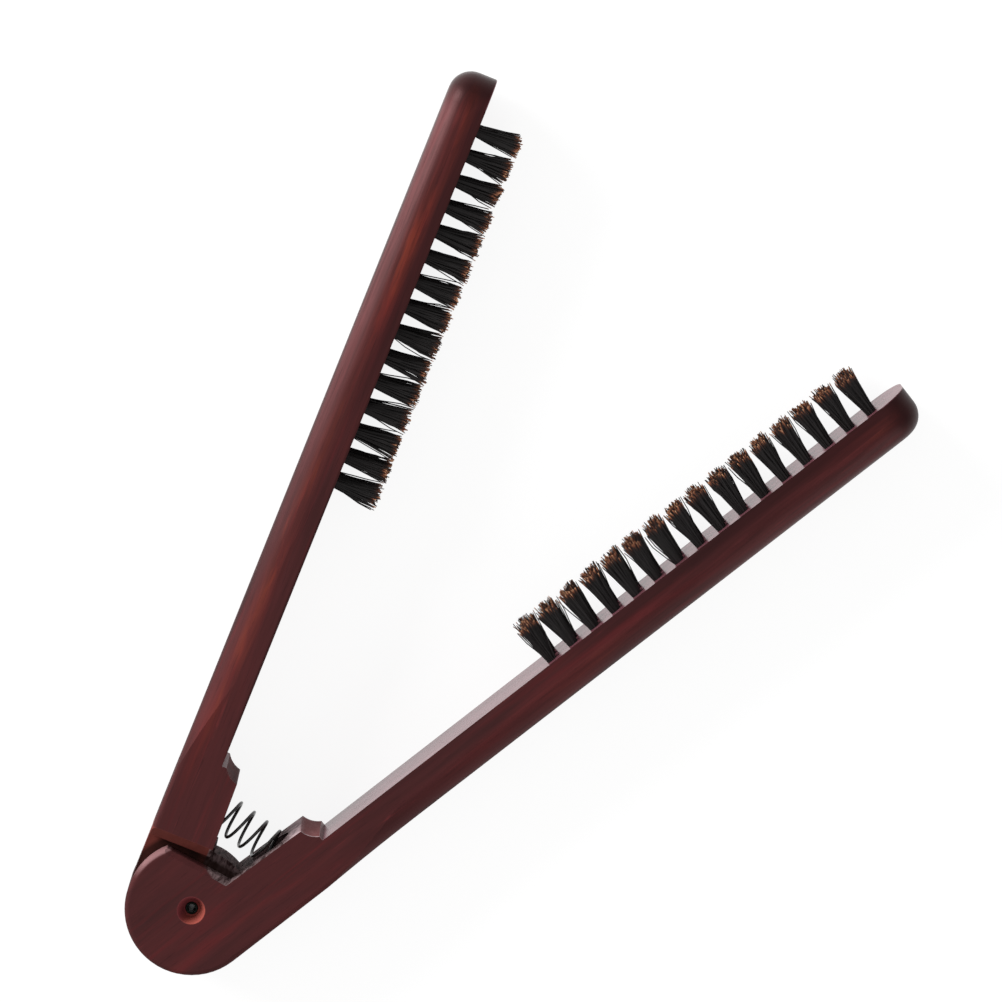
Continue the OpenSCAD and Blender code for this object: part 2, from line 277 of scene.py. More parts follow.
floor_finish = Finish("lit_white_table")
floor_finish.set(Base_Color=(0.18, 0.18, 0.18, 1), Roughness=0.9, Specular_IOR_Level=0.0)
floor_finish.set(Emission_Color=(1, 1, 1, 1), Emission_Strength=0.88)
floor = new_piece("floor", FLOOR_HALF * FLOOR_CORNERS, [(0, 1, 2, 3)])
floor.data.materials.append(floor_finish.material)
print("floor: %.0f m square" % (2 * FLOOR_HALF))

# %% [markdown]
# ## Where a point is on its arm
#
# The arms are a close-grained hardwood, stained like mahogany and lacquered. Most of what
# changes its colour depends on the place: hands rub the outer half and the last cuts are
# bare, and shade and highlights are painted onto edges, the back and the hinge as well. Each
# arm could be painted by hand, but the paint would be one more file, and it would have to
# be done again for each change of shape. Masks made of plain distances follow the wood by
# themselves.
#
# So an arm's finish first works out how far a point is along the arm, towards the other
# arm, from mid width and from the hinge's axis. The surface's own direction tells the flat
# sides from the rounded back.

# %% An arm's finish and its distances
class ArmWood(Finish):
    """The wood of one arm, whose side is -1 for the fork arm and +1 for the tongue arm. Its
    coordinates are turned by half the opening, so that along runs from the hinge to the tip.
    Inward is 0 on the line through the hinge and grows towards the other arm, so the planed
    face lies at -6.3 mm and the back at -16.7 mm. Away is the distance from the hinge's axis.
    The layers further down keep on the finish the masks that later layers need."""

    def __init__(self, name, side):
        super().__init__(name)
        self.side = side
        self.colour = None
        place = self.add("ShaderNodeTexCoord")
        self.place = place.outputs["Object"]
        self.turned = self.add("ShaderNodeMapping")
        self.turned.inputs["Rotation"].default_value = (0, 0, -side * HALF_OPEN)
        self.join(self.place, self.turned.inputs["Vector"])
        parts = self.add("ShaderNodeSeparateXYZ")
        self.join(self.turned, parts.inputs[0])
        self.along, self.across = parts.outputs[0], parts.outputs[1]
        self.inward = self.both(self.across, -side)
        self.off_middle = self.math("ABSOLUTE", self.math("SUBTRACT", parts.outputs[2], MID_Z))
        self.away = self.length(self.along, self.across)
        facing = self.add("ShaderNodeSeparateXYZ")
        self.join(place.outputs["Normal"], facing.inputs[0])
        self.sideways = self.math("ABSOLUTE", facing.outputs[2])

    def grain(self, scale, detail, distortion, low, high):
        """Noise that runs with the arm: its coordinate is scaled along, across and through the
        arm, and its values are spread to 0 at low and 1 at high."""
        squeeze = self.add("ShaderNodeMapping")
        squeeze.inputs["Scale"].default_value = scale
        self.join(self.turned, squeeze.inputs["Vector"])
        noise = self.add("ShaderNodeTexNoise", Scale=1.0, Detail=detail, Roughness=0.6,
                         Distortion=distortion)
        self.join(squeeze, noise.inputs["Vector"])
        return self.span(noise, low, high)

    def lay(self, share, colour):
        """Lays a colour over the wood's colour so far, where and as far as the share says."""
        self.colour = self.blend(share, self.colour, colour)


woods = {"fork_arm": ArmWood("fork_wood", -1), "tongue_arm": ArmWood("tongue_wood", 1)}


def dress(layer):
    """Gives both arms one more layer, and prints how many nodes their finishes have now."""
    for wood in woods.values():
        layer(wood)
    counts = [len(wood.tree.nodes) for wood in woods.values()]
    print("wood with its %s: %d and %d nodes" % (layer.__name__, *counts))


# %% [markdown]
# ## The stain
#
# The stain is a very dark brown-red with lighter red streaks and fine pale scratches along
# the grain. One flat colour would look like plastic. Streaks this long could be drawn as
# bands, but bands repeat, so they are a noise texture that is squeezed across the grain and
# stretched along it. The same noise at other scales gives the fibres.

# %% The stain
STAIN = [(0.0, (0.044, 0.0142, 0.0146)), (0.55, (0.063, 0.0164, 0.0170)),
         (1.0, (0.084, 0.0180, 0.0182))]
RED_STREAK = (0.140, 0.013, 0.016)
PALE_SCRATCH = (0.165, 0.028, 0.030)


def stain(wood):
    """Colour is a ramp over long noise, with red streaks and fine scratches laid over it."""
    wood.broad = wood.grain((16, 130, 90), detail=2, distortion=0.5, low=0.33, high=0.70)
    wood.fibres = wood.grain((60, 420, 300), detail=3, distortion=0.4, low=0.36, high=0.66)
    streaks = wood.grain((15, 240, 200), detail=2, distortion=1.1, low=0.54, high=0.84)
    scratches = wood.grain((90, 1300, 900), detail=2, distortion=0.5, low=0.66, high=0.80)
    wood.colour = wood.ramp(wood.broad, STAIN)
    wood.lay(wood.both(streaks, 0.45), RED_STREAK)
    wood.lay(wood.both(scratches, 0.45), PALE_SCRATCH)


dress(stain)

# %% [markdown]
# ## The rubbed and lit band
#
# Where hands hold the arms, the turn from the back into the side is rubbed to a warmer red,
# with orange patches where the stain is thin. Part of that red is painted light: the side
# lamp falls on this turn of the tongue arm, so the band is much stronger there. An even
# stripe would look painted on, so the band follows the back with a soft edge and is broken
# up by two noises. It lies a little further in towards the tip.

# %% The rubbed and lit band
# The band's depth below the line through the hinge, its shift inwards by the tip, the half
# width of its full colour and the half width at which it ends
BAND_AT = 13.2 * MM
BAND_SHIFT = 2.4 * MM
BAND_CORE = 0.4 * MM
BAND_HALF = 2.6 * MM
# The band's red: part rub wear, part painted side light, so the lit tongue arm's is twice as strong
RUBBED_AND_LIT_RED = {-1: (0.098, 0.0145, 0.0150), 1: (0.190, 0.025, 0.018)}
ORANGE = (0.240, 0.044, 0.018)


def rubbed_and_lit_band(wood):
    """The band is 1 along its middle and 0 past its half width. Its middle moves inwards on
    the way from the hinge to the tip, and its red, part rub wear and part painted side light,
    fades there by almost a half."""
    wood.handled = wood.span(wood.along, 40 * MM, 200 * MM)
    middle = wood.rest(wood.both(wood.handled, BAND_SHIFT), BAND_AT)
    off_band = wood.math("ABSOLUTE", wood.math("ADD", wood.inward, middle))
    band = wood.both(wood.span(off_band, BAND_HALF, BAND_CORE), wood.span(wood.along, 24 * MM, 60 * MM))
    patches = wood.grain((22, 60, 60), detail=2, distortion=0.3, low=0.42, high=0.66)
    thin_stain = wood.grain((18, 190, 150), detail=2, distortion=0.6, low=0.56, high=0.72)
    patchy = wood.math("ADD", wood.both(patches, wood.fibres, 0.62), 0.20)
    fading = wood.rest(wood.both(wood.handled, 0.45))
    wood.lay(wood.both(band, patchy, fading), RUBBED_AND_LIT_RED[wood.side])
    wood.lay(wood.both(band, thin_stain, wood.fibres, 0.35 + 0.10 * wood.side), ORANGE)


dress(rubbed_and_lit_band)

# %% [markdown]
# ## The painted edge shade
#
# Shade is painted onto the edges and ends that turn away from the light: a thin line on the
# rounded rim beside the planed face, the tips, and the back with the outside of the round
# end by the hinge. The inner edge of the outer half is darker as well. Each of these is a
# mask of its own. They could be laid one after the other, but where two met they would add
# up to black, so the strongest of them wins.

# %% The painted edge shade
# Painted shade for edges and ends, also used for the darker inner edge
EDGE_SHADE = (0.015, 0.0040, 0.0044)


def painted_edge_shade(wood):
    """The strongest of four masks: painted shade on the inner line, the tip, and the back of the
    arm with the outside of its round end by the hinge, and a darker inner edge."""
    inner_edge = wood.both(wood.span(wood.inward, -10.8 * MM, -8.4 * MM),
                           wood.span(wood.along, 85 * MM, 165 * MM))
    shaded_inner_line = wood.both(wood.span(wood.inward, -7.1 * MM, -6.6 * MM),
                           wood.span(wood.along, 36 * MM, 50 * MM))
    wood.tip = wood.span(wood.along, ARM_LEN - 11 * MM, ARM_LEN - 4 * MM)
    round_end = wood.both(wood.span(wood.away, 15.8 * MM, 16.2 * MM),
                          wood.span(wood.along, 2 * MM, -3 * MM))
    outside = wood.math("MAXIMUM", wood.span(wood.inward, -11 * MM, -12 * MM), round_end)
    shaded_back = wood.both(wood.span(wood.sideways, 0.62, 0.25), outside)
    back_shade_share = wood.rest(wood.both(wood.broad, 0.45), 0.75)
    painted_shade = wood.math("MAXIMUM", wood.both(inner_edge, 0.55),
                        wood.both(shaded_inner_line, 0.4 + 0.3 * wood.side), wood.both(wood.tip, 0.88),
                        wood.both(shaded_back, back_shade_share))
    wood.lay(painted_shade, EDGE_SHADE)


dress(painted_edge_shade)

# %% [markdown]
# ## The painted sheen on the back
#
# The tongue arm's back has a light sheen along its outer edge, stronger towards the tip. A
# brighter lamp could give that sheen, but it would light the other arm as well. So it is a
# painted sheen: a paler red on the outermost strip of the back, which fades into the
# painted shade of the tip.

# %% The painted sheen on the back
PAINTED_SHEEN_RED = (0.220, 0.082, 0.086)


def painted_back_sheen(wood):
    """Painted sheen on a strip beyond 12.8 mm from the hinge's line, on the tongue arm alone."""
    if wood.side > 0:
        # Painted sheen on the outermost strip of the tongue arm's back
        strip = wood.both(wood.span(wood.inward, -12.8 * MM, -15.6 * MM),
                          wood.span(wood.sideways, 0.10, 0.40), wood.span(wood.along, 75 * MM, 190 * MM))
        wood.lay(wood.both(strip, wood.rest(wood.both(wood.tip, 0.40), 0.44)), PAINTED_SHEEN_RED)


dress(painted_back_sheen)

# %% [markdown]
# ## Dark lines and pores
#
# Under the lacquer, dark lines run along the grain and pores show as short fine strokes.
# They could be cut into the mesh, but they are far too fine for that. They are noise once
# more, with the scale across the grain some twenty times that along it.

# %% Dark lines and pores
LINE_DARK = (0.022, 0.0070, 0.0070)
PORE_DARK = (0.020, 0.007, 0.008)


def lines_and_pores(wood):
    """Lines get stronger from the hinge to the tip. Pores are even."""
    lines = wood.grain((50, 950, 650), detail=2, distortion=0.5, low=0.60, high=0.34)
    wood.pores = wood.grain((130, 3200, 2400), detail=2, distortion=0.2, low=0.58, high=0.78)
    line_share = wood.math("ADD", wood.both(wood.handled, 0.32), 0.14)
    wood.lay(wood.both(lines, line_share), LINE_DARK)
    wood.lay(wood.both(wood.pores, 0.5), PORE_DARK)


dress(lines_and_pores)

# %% [markdown]
# ## Bare wood
#
# The stain hasn't got into the places that were cut last, and there the wood shows its own
# orange. On the fork arm those are the tapered recesses over the pin, which are painted
# lighter on the side that faces the light and darker on the other. On the tongue arm they
# are the tongue and the bevels beside it. The frame's mesh could be split to give them a
# material of their own, but distances find them as well and leave the mesh as it is.

# %% Bare wood
RECESS_R = 3.60 * MM
RECESS_SOFT = 0.15 * MM
# The way across the recess, along and across the arm, towards its side that is painted lighter as lit
LIT_WAY = (0.136, -0.99)
RECESS_SHADED_SIDE = (0.150, 0.030, 0.034)
RECESS_LIT_SIDE = ((0.20, 0.042, 0.034), (0.33, 0.078, 0.058))
TONGUE_END = 16.45 * MM
TONGUE_SOFT = 0.30 * MM
TONGUE_WOOD = ((0.085, 0.018, 0.014), (0.130, 0.031, 0.024))


def bare_wood(wood):
    """On the fork arm, all within the recess's radius, painted lighter on its side towards the
    light. On the tongue arm, all that lies nearer the hinge than the shoulders do."""
    if wood.side < 0:
        # The recess is bare orange wood, painted lighter on the side towards the light
        towards_light = wood.math("ADD", wood.both(wood.along, LIT_WAY[0]),
                             wood.both(wood.across, LIT_WAY[1]))
        lit_side = wood.span(towards_light, -1.0 * MM, 1.6 * MM)
        recess = wood.span(wood.away, RECESS_R, RECESS_R - RECESS_SOFT)
        wood.lay(recess, wood.blend(lit_side, RECESS_SHADED_SIDE, wood.blend(wood.broad, *RECESS_LIT_SIDE)))
    else:
        tongue = wood.span(wood.along, TONGUE_END, TONGUE_END - TONGUE_SOFT)
        wood.lay(tongue, wood.blend(wood.broad, *TONGUE_WOOD))


dress(bare_wood)

# %% [markdown]
# ## The planed face
#
# The plane faces that hold the bristles are the smoothest wood on the comb, and a little
# paler than the rest. They could be picked out face by face, but the mesh's triangles run
# on round the edges. A point is on a planed face if it lies on the inner side, past the
# spring's pad and not on a flat side of the comb. Those three masks are kept, because the
# pads and the gloss need them too.

# %% The planed face
PAD_END = 36.6 * MM
PLANED = ((0.115, 0.040, 0.050), (0.160, 0.062, 0.078))


def planed_face(wood):
    """The product of three masks, each a step a fraction of a millimetre wide."""
    wood.off_flats = wood.span(wood.off_middle, COMB_W / 2 - 0.02 * MM, COMB_W / 2 - 0.06 * MM)
    wood.inner_side = wood.span(wood.inward, FACE_Y - 0.3 * MM, FACE_Y - 0.1 * MM)
    wood.past_pad = wood.span(wood.along, PAD_END, PAD_END + 0.3 * MM)
    wood.planed = wood.both(wood.off_flats, wood.inner_side, wood.past_pad)
    wood.lay(wood.both(wood.planed, 0.9), wood.blend(wood.fibres, *PLANED))


dress(planed_face)

# %% [markdown]
# ## The spring's pads
#
# The pads are end grain and saw cuts: rough, mottled grey-brown and palest at the peak, with
# painted shade round the spring's seat and deep in the hinge's corner. The hollow at a pad's
# far end took some stain. They could share the wood's colour and only be rougher, but beside
# the polished arms the real ones look almost chalky, so they get a coarse noise of their own.

# %% The spring's pads
PAD_MOTTLE = ((0.030, 0.013, 0.013), (0.33, 0.23, 0.235))
SEAT_SHADE = (0.016, 0.010, 0.010)
PEAK_PALE = (0.42, 0.33, 0.35)
HOLLOW = {-1: (0.120, 0.022, 0.022), 1: (0.085, 0.050, 0.050)}
CORNER_SHADE = (0.010, 0.006, 0.006)


def spring_pads(wood):
    """Coarse noise, with painted shade at the seat, the peak, the hollow and painted shade in the
    corner laid over it in turn, and all of that on the inner side between the pad's start and
    its end."""
    from_seat = wood.math("ABSOLUTE", wood.math("SUBTRACT", wood.along, SPRING_OFF))
    seat = wood.span(from_seat, 7.5 * MM, 5.0 * MM)
    peak = wood.span(wood.along, 28.5 * MM, 31 * MM)
    hollow = wood.both(wood.span(wood.along, 33.4 * MM, 34.2 * MM),
                       wood.span(wood.off_middle, 10.4 * MM, 9.8 * MM))
    corner = wood.span(wood.away, 17.5 * MM, 14.9 * MM)
    mottle = wood.grain((420, 900, 260), detail=3, distortion=0.6, low=0.40, high=0.62)
    rough = wood.blend(mottle, *PAD_MOTTLE)
    # Painted shade round the spring's seat
    rough = wood.blend(wood.both(seat, 0.6), rough, SEAT_SHADE)
    rough = wood.blend(wood.both(peak, 0.4), rough, PEAK_PALE)
    rough = wood.blend(wood.both(hollow, 0.85), rough, HOLLOW[wood.side])
    # Painted shade deep in the hinge's corner
    rough = wood.blend(wood.both(corner, 0.6), rough, CORNER_SHADE)
    if wood.side < 0:
        pad = wood.span(wood.along, 9.0 * MM, 9.6 * MM)
    else:
        pad = wood.span(wood.inward, -1.6 * MM, -1.2 * MM)
    wood.lay(wood.both(pad, wood.inner_side, wood.off_flats, wood.rest(wood.past_pad)), rough)


dress(spring_pads)

# %% [markdown]
# ## Painted light at the hinge
#
# A strip of painted shade blackens the tongue beside the fork's cheeks, and a painted
# highlight lies on the rim of the fork arm's round end, where the other arm's shoulder
# stands over it. Shadow alone could darken the tongue, but not enough. The strip follows the
# fork's outline, which is a round end and a leaning flat: the distance past that outline is
# the larger of the distances past the two.

# %% Painted light at the hinge
FLAT_OFF = 10.8 * MM
FLAT_TURN = np.radians(23) - HALF_OPEN
# A painted highlight for the fork's rim, and painted shade for the tongue beside the cheeks
RIM_HIGHLIGHT = (0.28, 0.15, 0.155)
TONGUE_SHADE = (0.007, 0.003, 0.002)


def hinge_highlight_and_shade(wood):
    """A painted highlight on the fork arm's rim, and a strip of painted shade round the cheeks on the
    tongue arm.
    """
    if wood.side < 0:
        # A painted highlight on the upper side of the fork's rim
        rim = wood.both(wood.span(wood.away, HINGE_R - 1.0 * MM, HINGE_R - 0.6 * MM),
                        wood.span(wood.across, 12.6 * MM, 14.6 * MM),
                        wood.span(wood.along, -6 * MM, -2 * MM))
        wood.lay(wood.both(rim, 0.65), RIM_HIGHLIGHT)
    else:
        lean = wood.add("ShaderNodeVectorMath", operation="DOT_PRODUCT")
        lean.inputs[1].default_value = (np.cos(FLAT_TURN), np.sin(FLAT_TURN), 0)
        wood.join(wood.place, lean.inputs[0])
        past_outline = wood.math("MAXIMUM", wood.math("SUBTRACT", lean.outputs["Value"], FLAT_OFF),
                                 wood.math("SUBTRACT", wood.away, HINGE_R))
        # Painted shade on the tongue beside the cheeks
        strip = wood.both(wood.span(past_outline, 2.6 * MM, 1.5 * MM),
                          wood.span(wood.off_middle, 5.6 * MM, 5.4 * MM))
        wood.lay(wood.both(strip, wood.rest(wood.both(wood.broad, 0.3))), TONGUE_SHADE)


dress(hinge_highlight_and_shade)

# %% [markdown]
# ## The lacquer
#
# The lacquer is dull near the hinge, is polished by hands towards the tip, and is glossiest
# on the planed faces. A clear coat over the wood would be the usual way, but it would also
# shine in the pads and the recess. So the wood's own roughness changes along the arm, and
# the pores dent the surface just enough to break up its shine.

# %% The lacquer, and the wood on the arms
DULL = 0.80
POLISH = 0.40
PLANED_GLOSS = 0.22
PORE_DEPTH = 0.2 * MM


def lacquer(wood):
    """Roughness goes from dull to polished along the arm, and to a set value on the planed
    face. The colour laid so far goes into the shader here."""
    wood.join(wood.colour, wood.shader.inputs["Base Color"])
    bump = wood.add("ShaderNodeBump", Strength=0.12, Distance=PORE_DEPTH)
    wood.join(wood.pores, bump.inputs["Height"])
    wood.join(bump, wood.shader.inputs["Normal"])
    matt = wood.rest(wood.both(wood.handled, POLISH), DULL)
    matt = wood.rest(wood.both(wood.planed, wood.math("SUBTRACT", matt, PLANED_GLOSS)), matt)
    wood.join(matt, wood.shader.inputs["Roughness"])
    wood.set(Specular_IOR_Level=0.16, Specular_Tint=(1.0, 0.55, 0.55, 1.0))


def refinish(node, material):
    """Gives a frame node's object one material in place of its own."""
    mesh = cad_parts[node].data
    mesh.materials.clear()
    mesh.materials.append(material)


dress(lacquer)
for node, wood in woods.items():
    refinish(node, wood.material)

# %% [markdown]
# ## The metal of the pin and the anchors
#
# The hinge pin is a plain steel tube, its bore painted near black as shade. The anchors are
# cut from flat steel wire and are hidden in the wood. A polished metal would mirror the
# white floor, so the steel is dark and half rough, with a fine noise for its scratches. The
# bore has the same mesh as the rest of the tube, and its distance from the axis tells it
# apart.

# %% Pin and anchors
PIN_BORE_R = 1.0 * MM
STEEL = [(0.3, (0.005, 0.007, 0.006)), (0.7, (0.020, 0.024, 0.021))]
BORE_SHADE = (0.002, 0.002, 0.002)

steel = Finish("dull_steel")
steel_place = steel.add("ShaderNodeTexCoord").outputs["Object"]
steel_noise = steel.add("ShaderNodeTexNoise", Scale=2500.0, Detail=3.0)
steel.join(steel_place, steel_noise.inputs["Vector"])
steel_parts = steel.add("ShaderNodeSeparateXYZ")
steel.join(steel_place, steel_parts.inputs[0])
from_axis = steel.length(steel_parts.outputs[0], steel_parts.outputs[1])
# Painted shade inside the tube's bore
bore_shade = steel.span(from_axis, PIN_BORE_R + 0.08 * MM, PIN_BORE_R + 0.02 * MM)
steel_colour = steel.blend(bore_shade, steel.ramp(steel_noise, STEEL), BORE_SHADE)
steel.join(steel_colour, steel.shader.inputs["Base Color"])
steel.set(Metallic=1.0, Roughness=0.45)
steel_nodes = ("hinge_pin", "fork_tuft_anchors", "tongue_tuft_anchors")
for node in steel_nodes:
    refinish(node, steel.material)
print("steel on:", ", ".join(steel_nodes))

# %% [markdown]
# ## The paths of the bristles
#
# A tuft is a bundle of boar bristle, folded over an anchor and pulled into a drilled hole.
# It leaves the wood as a tight round bundle and fans out along the arm. Blender's own hair
# could grow it, but hair isn't a mesh, and the finished part needs real faces. So the
# centre line of each hair is four points, worked out for a whole tuft at once.
#
# When the comb is closed, the tufts of one arm go in between those of the other. So the
# hairs of an arm keep to thin layers across the comb, and the other arm's layers lie
# half a step away.

# %% Paths of the hairs
HAIRS = 60
TUFT_H = 11.9 * MM
ROOT_R = 1.2 * MM
ROOT_SUNK = 1.0 * MM
# How far along its hair each ring is, and how the lean grows from ring to ring
RING_SHARES = np.array([0.0, 0.35, 0.7, 1.0])
FAN_POWER = 1.1
# Half the width of a tuft's fanned end, and half the room that it has along the arm
TIP_HALF = 2.6 * MM
CELL_HALF = 3.1 * MM
LAYER = 0.40 * MM
LAYER_WANDER = 0.02 * MM
# Clumps lean aside together and end between this share and all of the height
CLUMP_COLUMNS = 4
CLUMP_ROWS = 3
CLUMPS = CLUMP_COLUMNS * CLUMP_ROWS
CLUMP_LEAN = 0.3 * MM
CLUMP_LOWEST = 0.89
# Each hair's own lean, wave and shortening, and the most that it is shortened
HAIR_LEAN = 0.2 * MM
HAIR_WAVE = 0.17 * MM
HAIR_SHORTER = 0.045
HAIR_SHORTER_MAX = 0.14
# Hairs that stray from the bundle: their share, and how much more they lean
STRAY_SHARE = 0.08
STRAY_FACTOR = 1.4
STRAY_LEAN = 0.9 * MM


def hair_paths(rng, side):
    """Centre lines of one tuft's hairs, as (hair, ring, xyz) in the tuft's own frame.
    Roots fill a disc in a sunflower pattern. Each hair leans out in proportion to its root's
    place, with small random bends. Hairs that root side by side hold together in clumps,
    which end at different heights, and a few hairs stray from the bundle. None leaves the
    tuft's own half of the way to the next tuft."""
    k = np.arange(HAIRS) + 0.5
    radius = ROOT_R * np.sqrt(k / HAIRS)
    turn = k * np.pi * (3 - np.sqrt(5))
    root_x = radius * np.cos(turn)
    root_z = radius * np.sin(turn)
    step = 0.5 if side > 0 else 0.0
    layer_z = (np.round(root_z / LAYER - step) + step) * LAYER
    layer_z += rng.uniform(-LAYER_WANDER, LAYER_WANDER, HAIRS)
    column = np.floor((root_x / ROOT_R + 1) * (CLUMP_COLUMNS / 2))
    row = np.floor((root_z / ROOT_R + 1) * (CLUMP_ROWS / 2))
    clump = (column * CLUMP_ROWS + row).astype(int).clip(0, CLUMPS - 1)
    clump_lean = rng.normal(0, CLUMP_LEAN, CLUMPS)[clump]
    clump_height = rng.uniform(CLUMP_LOWEST, 1.0, CLUMPS)[clump]
    lean = root_x / ROOT_R * (TIP_HALF - ROOT_R) + clump_lean + rng.normal(0, HAIR_LEAN, HAIRS)
    stray = rng.uniform(0, 1, HAIRS) < STRAY_SHARE
    lean = np.where(stray, STRAY_FACTOR * lean + rng.normal(0, STRAY_LEAN, HAIRS), lean)
    shorter = np.abs(rng.normal(0, HAIR_SHORTER, HAIRS)).clip(0, HAIR_SHORTER_MAX)
    height = TUFT_H * clump_height * (1 - shorter)
    x = root_x[:, None] + lean[:, None] * RING_SHARES ** FAN_POWER
    x += rng.normal(0, HAIR_WAVE, (HAIRS, len(RING_SHARES))) * RING_SHARES
    x = x.clip(-CELL_HALF, CELL_HALF)
    y = -ROOT_SUNK + (height[:, None] + ROOT_SUNK) * RING_SHARES
    z = np.repeat(layer_z[:, None], len(RING_SHARES), axis=1)
    return np.stack([x, y, z], axis=-1)


print("a tuft: %d hairs, up to %.1f mm high" % (HAIRS, TUFT_H / MM))

# %% [markdown]
# ## The mesh of the bristles
#
# A bristle is a stiff hair that tapers. With thousands of them, each may have only a few
# faces, so each is a thin three-sided tube with a triangle at each of its four rings. A
# curve with a bevel would give rounder hairs, but thousands of curves are slow, and this
# way a row's hairs are one array and are made in a single step.

# %% Tubes along the hairs
HAIR_W = 0.34 * MM
# A hair's thickness across the comb as a share of its width, so that it stays in its layer
HAIR_FLAT = 0.45
HAIR_TAPER = np.array([1.0, 1.0, 0.95, 0.75])
HAIR_SIDES = 3


def hair_mesh(paths, rng):
    """Three-sided tubes along the hairs: at each ring a triangle across the hair, full width
    at the root and tapering to 75 per cent at the tip. Each hair has its own twist, so that
    they catch the light one by one. Both ends are closed."""
    count, rings = paths.shape[:2]
    corner = np.radians([90, 210, 330]) + rng.uniform(0, 2 * np.pi, (count, 1))
    width = HAIR_W / 2 * HAIR_TAPER
    ring = np.stack([np.cos(corner), 0 * corner, HAIR_FLAT * np.sin(corner)], axis=-1)
    points = paths[:, :, None, :] + width[None, :, None, None] * ring[:, None]
    root = np.arange(count) * rings * HAIR_SIDES
    first = root[:, None, None]
    level = (np.arange(rings - 1) * HAIR_SIDES)[None, :, None]
    near = np.arange(HAIR_SIDES)
    far = (near + 1) % HAIR_SIDES
    sides = np.stack([first + level + near, first + level + near + HAIR_SIDES,
                      first + level + far + HAIR_SIDES, first + level + far], axis=-1)
    low = root[:, None] + near
    high = root[:, None] + (rings - 1) * HAIR_SIDES + near[::-1]
    return points, sides.reshape(-1, 4).tolist() + low.tolist() + high.tolist()


print("faces on a hair:", (len(RING_SHARES) - 1) * HAIR_SIDES + 2)

# %% [markdown]
# ## The colour of the bristles
#
# The hairs are near black, with lighter brown ends where they taper and split. Each hair
# could have a material of its own, but one is enough: the mesh carries two numbers at each
# point, how far along its hair the point is and a random tone for the hair, and the
# material reads both.

# %% Bristle finish
NEAR_TIP = (0.85, 0.99)
BRISTLE = [(0.0, (0.010, 0.008, 0.008)), (0.34, (0.034, 0.013, 0.009)),
           (0.66, (0.24, 0.080, 0.038)), (1.0, (0.66, 0.36, 0.20))]

bristle = Finish("boar_bristle")
along = bristle.add("ShaderNodeAttribute", attribute_name="along")
tone = bristle.add("ShaderNodeAttribute", attribute_name="tone")
near_tip = bristle.span(along.outputs["Fac"], *NEAR_TIP)
bristle_tone = bristle.ramp(bristle.both(near_tip, tone.outputs["Fac"]), BRISTLE)
bristle.join(bristle_tone, bristle.shader.inputs["Base Color"])
bristle.set(Roughness=0.55, Specular_IOR_Level=0.3)
print("bristle nodes:", len(bristle.tree.nodes))

# %% [markdown]
# ## The rows of bristles
#
# Each row of three tufts across the comb is one piece, as it is one node in the frame. The
# tongue arm's rows stand half a step further out than the fork arm's. One tuft could be
# copied to all the holes, but real tufts differ, so each row has its own random draws.

# %% Rows of tufts
ROW_PITCH = 6.7 * MM
# From the tip of the arm to its last row, and from a flat side to the nearest tuft
TIP_MARGIN = 10 * MM
SIDE_MARGIN = 4.4 * MM
TUFTS_ACROSS = 3
FORK_ROWS = 16
TONGUE_ROWS = 15


def bristle_row(name, side, row_x, seed):
    """One row of three tufts as a piece, with two attributes: along, which is 0 at the root
    and 1 at the tip, and tone, a random number for each hair."""
    rng = np.random.default_rng(seed)
    tufts = []
    for z in np.linspace(SIDE_MARGIN, COMB_W - SIDE_MARGIN, TUFTS_ACROSS):
        tufts.append(hair_paths(rng, side) + np.array([row_x, FACE_Y, z]))
    paths = np.concatenate(tufts)
    points, faces = hair_mesh(paths, rng)
    piece = new_piece(name, arm_to_frame(points, side), faces, smooth=False)
    along = np.broadcast_to(RING_SHARES[None, :, None], points.shape[:3])
    tone = np.broadcast_to(rng.uniform(0, 1, len(paths))[:, None, None], points.shape[:3])
    for key, values in (("along", along), ("tone", tone)):
        attribute = piece.data.attributes.new(key, "FLOAT", "POINT")
        attribute.data.foreach_set("value", values.astype(np.float32).ravel())
    return piece


row_count = 0
for body, side, rows, shift, first_seed in (("fork", -1, FORK_ROWS, 0.0, 100),
                                            ("tongue", 1, TONGUE_ROWS, 0.5, 300)):
    for i in range(1, rows + 1):
        row_x = ARM_LEN - TIP_MARGIN - (FORK_ROWS - i - shift) * ROW_PITCH
        piece = bristle_row("%s_bristles_%02d" % (body, i), side, row_x, first_seed + i)
        piece.data.materials.append(bristle.material)
        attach(piece, body + "_side")
        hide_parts("%s_tufts_%02d" % (body, i))
        row_count += 1
print("bristle rows:", row_count, "hairs:", row_count * TUFTS_ACROSS * HAIRS)

# %% [markdown]
# ## The spring
#
# The spring is wound from round wire, with one closed turn at each end. A screw modifier
# could wind it, but with an even climb only. So its centre line is worked out as a helix
# whose climb is slow over the end turns and even between them, and the wire is a circle
# carried along that line on the line's own outward and upward directions.

# %% Shape of the spring
SPRING_LEN = 27.5 * MM
COIL_R = 4.6 * MM
WIRE_R = 0.4 * MM
TURNS = 8
END_PITCH = 1.35 * MM
WIRE_START = np.radians(234)
RINGS_A_TURN = 32
WIRE_SIDES = 12


def spring_line(u):
    """Centre of the wire after u turns, and its direction away from the coil's axis there.
    Height is a straight climb in three parts: the end turns climb by the end pitch, and the
    open turns share the rest of the length."""
    turn = WIRE_START + 2 * np.pi * u
    outward = np.stack([np.cos(turn), 0 * u, np.sin(turn)], axis=-1)
    open_climb = SPRING_LEN - 2 * WIRE_R - 2 * END_PITCH
    height = np.interp(u, [0, 1, TURNS - 1, TURNS],
                       [0, END_PITCH, END_PITCH + open_climb, 2 * END_PITCH + open_climb])
    centres = np.stack([SPRING_OFF + COIL_R * np.cos(turn), WIRE_R - SPRING_LEN / 2 + height,
                        MID_Z + COIL_R * np.sin(turn)], axis=-1)
    return centres, outward


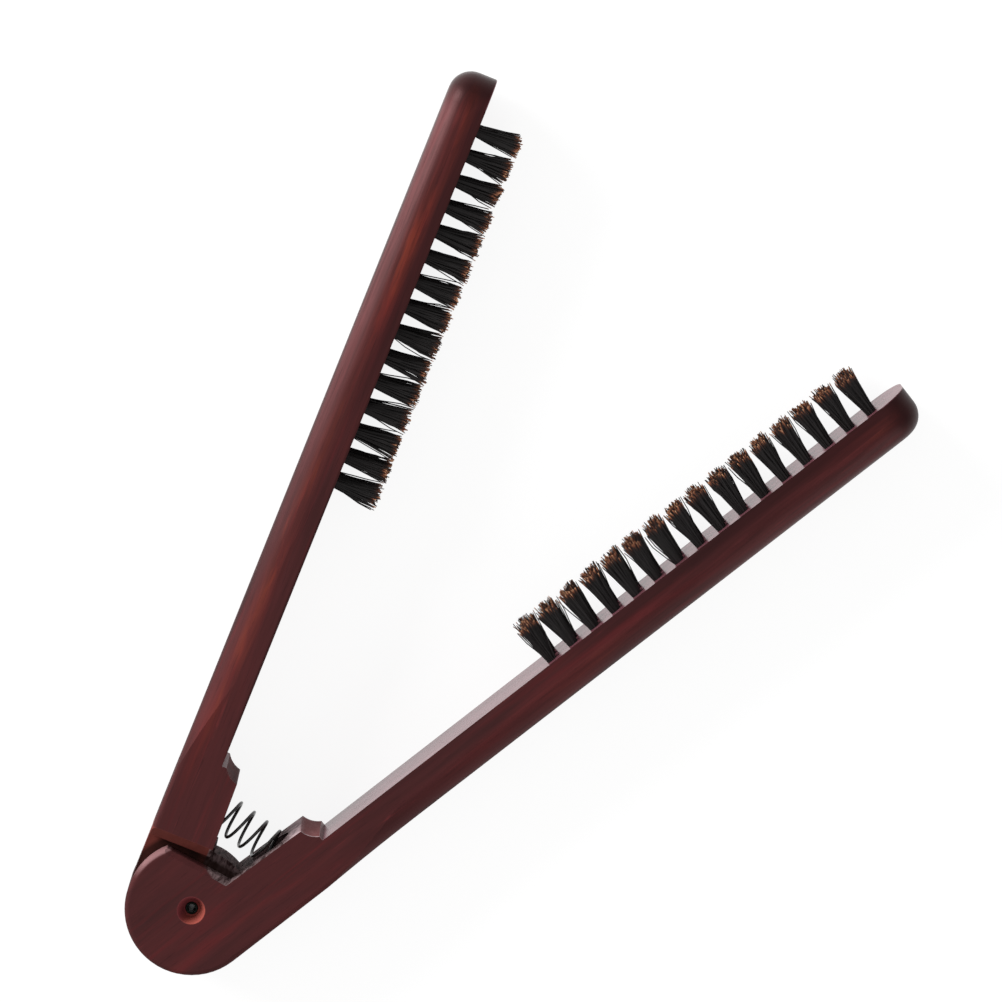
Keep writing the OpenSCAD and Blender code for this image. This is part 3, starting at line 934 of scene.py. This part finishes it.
def wire_tube(centres, outward):
    """A tube on a line: each ring is a circle in the plane of the outward direction and the
    direction square to both it and the line."""
    along_line = np.gradient(centres, axis=0)
    along_line /= np.linalg.norm(along_line, axis=1, keepdims=True)
    upward = np.cross(outward, along_line)
    upward /= np.linalg.norm(upward, axis=1, keepdims=True)
    angle = np.linspace(0, 2 * np.pi, WIRE_SIDES, endpoint=False)[None, :, None]
    points = centres[:, None] + WIRE_R * (np.cos(angle) * outward[:, None]
                                          + np.sin(angle) * upward[:, None])
    rings = len(centres)
    row = np.arange(rings - 1)[:, None] * WIRE_SIDES
    near = np.arange(WIRE_SIDES)
    far = (near + 1) % WIRE_SIDES
    sides = np.stack([row + near, row + near + WIRE_SIDES, row + far + WIRE_SIDES, row + far],
                     axis=-1).reshape(-1, 4)
    ends = [near.tolist(), (near[::-1] + (rings - 1) * WIRE_SIDES).tolist()]
    return points, sides.tolist() + ends


centres, outward = spring_line(np.linspace(0, TURNS, TURNS * RINGS_A_TURN + 1))
spring_points, spring_faces = wire_tube(centres, outward)
spring = new_piece("coil_spring", spring_points, spring_faces)
print("spring rings:", len(centres), "faces:", len(spring_faces))

# %% [markdown]
# ## The spring's finish
#
# The wire is blackened steel with a thin coat of oil, which gives small sharp lights. A
# bare metal would mirror the white floor, so the wire is a dark colour under a coat.

# %% Finish of the spring
WIRE_BLACK = [(0.35, (0.008, 0.008, 0.008)), (0.75, (0.035, 0.030, 0.026))]

black_wire = Finish("black_wire")
wire_place = black_wire.add("ShaderNodeTexCoord").outputs["Object"]
wire_noise = black_wire.add("ShaderNodeTexNoise", Scale=900.0, Detail=3.0)
black_wire.join(wire_place, wire_noise.inputs["Vector"])
black_wire.join(black_wire.ramp(wire_noise, WIRE_BLACK), black_wire.shader.inputs["Base Color"])
black_wire.set(Roughness=0.35, Coat_Weight=0.4, Coat_Roughness=0.2)
spring.data.materials.append(black_wire.material)
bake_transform(spring)
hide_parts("spring")
print("spring bends over %.1f mm" % (SPRING_LEN / MM))
